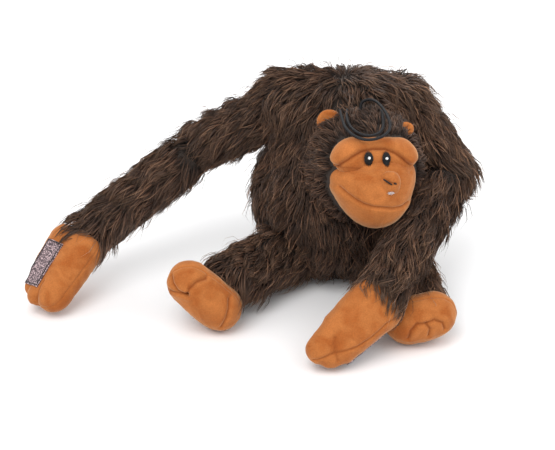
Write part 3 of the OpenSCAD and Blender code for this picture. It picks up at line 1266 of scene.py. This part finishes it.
class MONKEY_OT_arms(bpy.types.Operator):
    """Sew the sleeves and grow the fur of both arms"""

    bl_idname = "monkey.arms"
    bl_label = "Arms and their fur"

    def execute(self, context):
        look = context.scene.monkey_coat
        mats = finishes()
        for k, side in enumerate(SIDES):
            s, e, w = SHOULDER[side], ELBOW[side], WRIST[side]

            def upper(p):
                return pod(p, s, e, SHOULDER_R - 0.3, ELBOW_R - 0.3)

            mid = (vec(s) + vec(e)) / 2
            skin = star_cover("upper_arm_cover_" + side, mid, upper, 5, mats["fur_backing"], 80)
            finish_piece(skin, "upper_arm_" + side, "long_pile_fur", "upper_arm_fur_" + side)
            pts, n = scatter(skin.data, look.thickness * 1.05, 61 + k)

            def out_upper(p):
                keep = np.minimum(torso_shape(p) + 6, ball(p, HEAD, HEAD_R - 1))
                keep = np.minimum(keep, face_shape(p) - 1)
                return np.minimum(keep, pod(p, e, w, ELBOW_R - 3, WRIST_R - 3))

            d = comb(n, limb_wants(pts, s, e))
            coat(
                "upper_arm_fur_coat_" + side,
                "upper_arm_" + side,
                pts,
                n,
                d,
                look.pile / MM * 1.0,
                7.0,
                63 + k,
                upper,
                out_upper,
                width=look.lock / MM,
            )

            along = unit(vec(w) - vec(e))
            inner = unit(vec(ELBOW_INNER[side]) - along * (vec(ELBOW_INNER[side]) @ along))
            cut_in, cut_out = ELBOW_CUT[side]
            lean = (cut_in - cut_out) / (2 * ELBOW_R)
            plane_at = vec(e) + along * ((cut_in + cut_out) / 2)
            plane = unit(along - inner * lean)

            def fore(p):
                a = pod(p, e, w, ELBOW_R - 0.3, WRIST_R - 0.3)
                a = np.maximum(a, (ELBOW_R + 0.6) - ball(p, e, 0))
                return np.maximum(a, -((p - plane_at) @ plane))

            mid = vec(e) + (vec(w) - vec(e)) * 0.55
            sleeve = star_cover("forearm_cover_" + side, mid, fore, 6, mats["fur_backing"], 110)
            finish_piece(sleeve, "forearm_" + side, "long_pile_fur", "forearm_fur_" + side)
            pts, n = scatter(sleeve.data, look.thickness * 1.05, 65 + k)
            whole = lambda p: pod(p, e, w, ELBOW_R - 0.3, WRIST_R - 0.3)
            on = whole(pts) > -0.8
            pts, n = pts[on], n[on]
            across = (pts - vec(w)) @ hand_axes(side)[:, 1]
            past = ((pts - vec(w)) @ along) > (6 - 0.5 * across if side == "right" else 9)
            pts, n = pts[~past], n[~past]

            def out_fore(p):
                keep = np.minimum(torso_shape(p) + 5, ball(p, HEAD, HEAD_R - 1))
                keep = np.minimum(keep, face_shape(p) - 1.5)
                return keep

            hand = hand_shape(side)
            m = hand_axes(side)

            def over_hand(p):
                return np.minimum(whole(p), hand((p - vec(w)) @ m))

            d = comb(n, limb_wants(pts, e, w))
            coat(
                "forearm_fur_coat_" + side,
                "forearm_" + side,
                pts,
                n,
                d,
                look.pile / MM * 1.05,
                6.5,
                67 + k,
                over_hand,
                out_fore,
                width=look.lock / MM,
            )
        return {"FINISHED"}


class MONKEY_OT_hands(bpy.types.Operator):
    """Shape the velour mittens with their fingers and seams"""

    bl_idname = "monkey.hands"
    bl_label = "Hands"

    def execute(self, context):
        mats = finishes()
        depth = context.scene.monkey_velour.seam_depth / MM
        for side in SIDES:
            basis = (WRIST[side], hand_axes(side))
            seen = {}

            def sewn(p, n, side=side, seen=seen):
                x, y, z = p.T
                flat_map = np.stack([x, z], 1)
                if side == "right":
                    edge = np.abs(x - 1.5)
                    groove = to_line(np.stack([y, z], 1), [(-4.5, 66), (-4.5, 79), (-3, 90)])
                    top = np.clip((x - 2) / 5, 0, 1)
                    move = carve(depth * 0.35, edge, 1.1) + carve(depth * 0.8, groove, 1.6) * top
                    # Painted shade along the edge seam and the finger groove.
                    shade = mark(edge, 0.8) * 0.18 + mark(groove, 0.9) * 0.5 * top
                else:
                    edge = to_line(
                        flat_map, [(-5, 95), (-1, 78), (8, 60), (11, 45), (11, 28), (15, 8)]
                    )
                    finger = to_line(flat_map, [(-10, 69), (-1, 78), (7, 80)])
                    low = np.clip(y / 4, 0, 1)
                    move = (carve(depth * 0.7, edge, 1.2) + carve(depth * 0.7, finger, 1.4)) * low
                    # Painted shade along the edge seam and the finger seam.
                    shade = np.maximum(mark(edge, 0.9), mark(finger, 0.9) * 0.7) * 0.45 * low
                seen["v"] = shade
                return p + n * (move + waves(p, 24, 71) * 0.45 + waves(p, 9, 72) * 0.15)[:, None]

            tip = float(np.linalg.norm(vec(HAND_TIP[side]) - vec(WRIST[side])))
            obj = star_cover(
                "hand_velour_" + side,
                (0, 0, tip * 0.55),
                hand_shape(side),
                7,
                mats["hand_velour"],
                90,
                basis=basis,
                shaping=sewn,
            )
            paint_crease_shade(obj, seen["v"])
            finish_piece(
                obj,
                "hand_" + side,
                "velour",
                "hand_back_" + side,
                "hand_palm_" + side,
                "hand_stuffing_" + side,
            )
        return {"FINISHED"}


class MONKEY_OT_palm_patches(bpy.types.Operator):
    """Sew the fastening patches on the palms"""

    bl_idname = "monkey.palm_patches"
    bl_label = "Palm patches"

    def execute(self, context):
        mats = finishes()
        fit = context.scene.monkey_fittings
        w, l = fit.patch_width / MM, fit.patch_length / MM
        for side in SIDES:
            m = hand_axes(side)
            clear_selection()
            bpy.ops.mesh.primitive_grid_add(
                x_subdivisions=28, y_subdivisions=60, size=1, location=(0, 0, 0)
            )
            obj = bpy.context.active_object
            obj.name = obj.data.name = "patch_tape_" + side
            g = get_points(obj.data)
            hand = hand_shape(side)
            across = 8 if side == "right" else 0
            y = g[:, 0] * w + across
            z = 28 + l / 2 + g[:, 1] * l
            x = np.full(len(y), 30.0)
            for _ in range(60):
                s = hand(np.stack([x, y, z], 1))
                x -= s * 0.7
            q = np.stack([x + 0.2, y, z], 1)
            q[:, 0] += waves(q, 11, 81, 2) * 0.25
            p = vec(WRIST[side]) + q @ m.T
            set_points(obj.data, p)
            obj.data.materials.clear()
            obj.data.materials.append(mats["hook_tape"])
            bpy.context.view_layer.objects.active = obj
            thick = obj.modifiers.new("thickness", "SOLIDIFY")
            thick.thickness = 1.5 * MM
            thick.offset = 1.0
            bpy.ops.object.modifier_apply(modifier="thickness")
            obj.select_set(True)
            bpy.ops.object.mode_set(mode="EDIT")
            bpy.ops.mesh.select_all(action="SELECT")
            bpy.ops.mesh.normals_make_consistent(inside=False)
            bpy.ops.object.mode_set(mode="OBJECT")
            obj.select_set(False)
            finish_piece(obj, "hand_" + side, "fastening_tape", "palm_patch_" + side)
            # a run of black thread round the edge
            ring = []
            inset = 1.3
            hw, hl = w / 2 - inset, l / 2 - inset
            corners = [(-hw, -hl), (hw, -hl), (hw, hl), (-hw, hl), (-hw, -hl)]
            for a, b in zip(corners[:-1], corners[1:]):
                steps = int(math.hypot(b[0] - a[0], b[1] - a[1]) / 0.8)
                for k in range(steps):
                    t = k / steps
                    ring.append((a[0] + (b[0] - a[0]) * t, a[1] + (b[1] - a[1]) * t, k))
            yy = np.array([r[0] for r in ring]) + across
            zz = np.array([r[1] for r in ring]) + 28 + l / 2
            xx = np.full(len(yy), 30.0)
            for _ in range(60):
                xx -= hand(np.stack([xx, yy, zz], 1)) * 0.7
            xx += 1.9
            q = np.stack([xx, yy, zz], 1)
            q[:, 0] += waves(q, 11, 81, 2) * 0.25 + 0.25 * np.sin(np.arange(len(q)) * 1.6)
            curve = bpy.data.curves.new("patch_stitching_" + side, "CURVE")
            curve.dimensions = "3D"
            s = curve.splines.new("POLY")
            s.points.add(len(q) - 1)
            for point, v in zip(s.points, vec(WRIST[side]) + q @ m.T):
                point.co = (*(v * MM), 1)
            s.use_cyclic_u = True
            curve.bevel_depth = 0.38 * MM
            curve.bevel_resolution = 2
            thread = bpy.data.objects.new(curve.name, curve)
            context.collection.objects.link(thread)
            curve.materials.append(mats["black_embroidery"])
            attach(thread, "hand_" + side)
        return {"FINISHED"}


class MONKEY_OT_legs(bpy.types.Operator):
    """Sew the legs and grow their fur"""

    bl_idname = "monkey.legs"
    bl_label = "Legs and their fur"

    def execute(self, context):
        look = context.scene.monkey_coat
        mats = finishes()
        for k, side in enumerate(SIDES):
            h, a = HIP[side], ANKLE[side]
            shape = leg_shape(side)

            def cover(p):
                return np.maximum(shape(p) + 0.3, 0.8 - p[:, 2])

            skin = star_cover(
                "leg_cover_" + side, (vec(h) + vec(a)) / 2, cover, 5, mats["fur_backing"], 80
            )
            finish_piece(skin, "leg_" + side, "long_pile_fur", "leg_fur_" + side)
            pts, n = scatter(skin.data, look.thickness * 1.1, 91 + k)
            low = n[:, 2] < -0.85
            pts, n = pts[~low], n[~low]
            foot = foot_shape(side)
            m = foot_axes(side)
            heel = vec(HEEL[side])

            def keep_out(p):
                return torso_shape(p) + 7

            def over_foot(p):
                return np.minimum(shape(p), foot((p - heel) @ m))

            on_foot = foot((pts - heel) @ m) < 0.5
            pts, n = pts[~on_foot], n[~on_foot]
            d = comb(n, limb_wants(pts, h, a, 0.5))
            coat(
                "leg_fur_coat_" + side,
                "leg_" + side,
                pts,
                n,
                d,
                look.pile / MM * 0.85,
                6.0,
                93 + k,
                over_foot,
                keep_out,
                width=look.lock / MM,
                droop=0.2,
            )
        return {"FINISHED"}


class MONKEY_OT_feet(bpy.types.Operator):
    """Shape the velour feet with their stitched toes"""

    bl_idname = "monkey.feet"
    bl_label = "Feet"

    def execute(self, context):
        mats = finishes()
        depth = context.scene.monkey_velour.seam_depth / MM
        stitch = {
            "right": [
                [(1, 62), (-2.5, 55), (-5, 50), (-5.5, 43), (-2, 35)],
                [(-2, 35), (3.5, 37.5), (12, 36.5), (18.5, 31)],
                [(-2, 35), (-5, 39), (-10.5, 44.5), (-15, 48)],
                [(18, 3), (12, -2), (4, -6), (-6, -9)],
            ],
            "left": [
                [(7, -4), (-1, -1), (-6, 5), (-5, 13), (1, 16), (8, 14)],
                [(-5, 14), (-6, 21), (-1, 28), (6, 29)],
            ],
        }
        for side in SIDES:
            basis = (HEEL[side], foot_axes(side))
            seen = {}

            def sewn(p, n, side=side, seen=seen):
                q = p[:, (1, 2)]
                front = np.clip((p[:, 0] - 2) / 6, 0, 1)
                move = np.zeros(len(p))
                shade = np.zeros(len(p))
                for line in stitch[side]:
                    far = to_line(q, line)
                    move += carve(depth * 0.9, far, 1.5) * front + 0.5 * mark(far - 4, 2.5) * front
                    # Painted shade along the toe stitching.
                    shade = np.maximum(shade, np.exp(-((far / 0.9) ** 2)) * 0.65 * front)
                rim = np.abs(p[:, 0] - 6)
                move += carve(depth * 0.35, rim, 1.0)
                # Painted shade along the rim seam added to the stitching shade.
                seen["v"] = shade + np.exp(-((rim / 0.8) ** 2)) * 0.2
                return p + n * (move + waves(p, 24, 101) * 0.4 + waves(p, 9, 102) * 0.12)[:, None]

            span = float(np.linalg.norm(vec(TOE[side]) - vec(HEEL[side])))
            obj = star_cover(
                "foot_velour_" + side + "_cover",
                (2, 0, span / 2),
                foot_shape(side),
                7,
                mats["foot_velour"],
                80,
                basis=basis,
                shaping=sewn,
            )
            paint_crease_shade(obj, seen["v"])
            finish_piece(
                obj, "foot_" + side, "velour", "foot_velour_" + side, "foot_stuffing_" + side
            )
        return {"FINISHED"}


class MONKEY_OT_filling(bpy.types.Operator):
    """Give the seat panel and the stuffing their own finishes"""

    bl_idname = "monkey.filling"
    bl_label = "Seat panel and stuffing"

    def execute(self, context):
        mats = finishes()
        for name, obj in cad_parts.items():
            if name == "seat_panel":
                mat = mats["seat_cloth"]
            elif "stuffing" in name:
                mat = mats["polyester_wadding"]
            else:
                continue
            if obj.material_slots:
                for slot in obj.material_slots:
                    slot.material = mat
            else:
                obj.data.materials.append(mat)
        return {"FINISHED"}


class MONKEY_OT_stage(bpy.types.Operator):
    """Lay a pale floor and set the soft studio lights"""

    bl_idname = "monkey.stage"
    bl_label = "Stage"

    def execute(self, context):
        clear_selection()
        bpy.ops.mesh.primitive_plane_add(size=8, location=(0, 0, 0))
        floor = bpy.context.active_object
        floor.name = "studio_floor"
        paper = paper_material("studio_paper", tuple(context.scene.monkey_fittings.floor_colour))
        floor.data.materials.append(paper)
        world = bpy.data.worlds.new("studio")
        world.use_nodes = True
        world.node_tree.nodes["Background"].inputs[0].default_value = (1, 1, 1, 1)
        world.node_tree.nodes["Background"].inputs[1].default_value = 0.95
        context.scene.world = world
        for name, place, size, power in (
            ("key", (-0.5, -0.9, 1.5), 1.1, 16),
            ("fill", (1.2, -0.6, 1.1), 1.2, 7),
            ("back", (0.1, 1.1, 1.3), 1.0, 9),
        ):
            data = bpy.data.lights.new(name, "AREA")
            data.size, data.energy = size, power
            lamp = bpy.data.objects.new(name, data)
            lamp.location = place
            aim = Vector((0, -0.05, 0.08)) - Vector(place)
            lamp.rotation_euler = aim.to_track_quat("-Z", "Y").to_euler()
            context.collection.objects.link(lamp)
        context.scene.view_settings.view_transform = "Standard"
        return {"FINISHED"}


class MONKEY_PT_sidebar(bpy.types.Panel):
    """The monkey's settings and steps"""

    bl_idname = "MONKEY_PT_sidebar"
    bl_label = "Stuffed Monkey"
    bl_space_type = "VIEW_3D"
    bl_region_type = "UI"
    bl_category = "Monkey"

    def draw(self, context):
        layout = self.layout
        scene = context.scene
        for group in (scene.monkey_coat, scene.monkey_velour, scene.monkey_fittings):
            box = layout.box()
            for name in group.__annotations__:
                box.prop(group, name)
        for op in STEPS:
            layout.operator(op.bl_idname)


STEPS = (
    MONKEY_OT_camera,
    MONKEY_OT_hanging_loop,
    MONKEY_OT_torso,
    MONKEY_OT_head,
    MONKEY_OT_face,
    MONKEY_OT_eyes,
    MONKEY_OT_nostrils,
    MONKEY_OT_ears,
    MONKEY_OT_arms,
    MONKEY_OT_hands,
    MONKEY_OT_palm_patches,
    MONKEY_OT_legs,
    MONKEY_OT_feet,
    MONKEY_OT_filling,
    MONKEY_OT_stage,
)
GROUPS = (MONKEY_PG_coat, MONKEY_PG_velour, MONKEY_PG_fittings)


def register():
    for cls in GROUPS + STEPS + (MONKEY_PT_sidebar,):
        bpy.utils.register_class(cls)
    bpy.types.Scene.monkey_coat = bpy.props.PointerProperty(type=MONKEY_PG_coat)
    bpy.types.Scene.monkey_velour = bpy.props.PointerProperty(type=MONKEY_PG_velour)
    bpy.types.Scene.monkey_fittings = bpy.props.PointerProperty(type=MONKEY_PG_fittings)


def unregister():
    del bpy.types.Scene.monkey_fittings
    del bpy.types.Scene.monkey_velour
    del bpy.types.Scene.monkey_coat
    for cls in reversed(GROUPS + STEPS + (MONKEY_PT_sidebar,)):
        bpy.utils.unregister_class(cls)


def main():
    register()
    for op in STEPS:
        area, name = op.bl_idname.split(".")
        getattr(getattr(bpy.ops, area), name)()


if __name__ == "__main__":
    main()
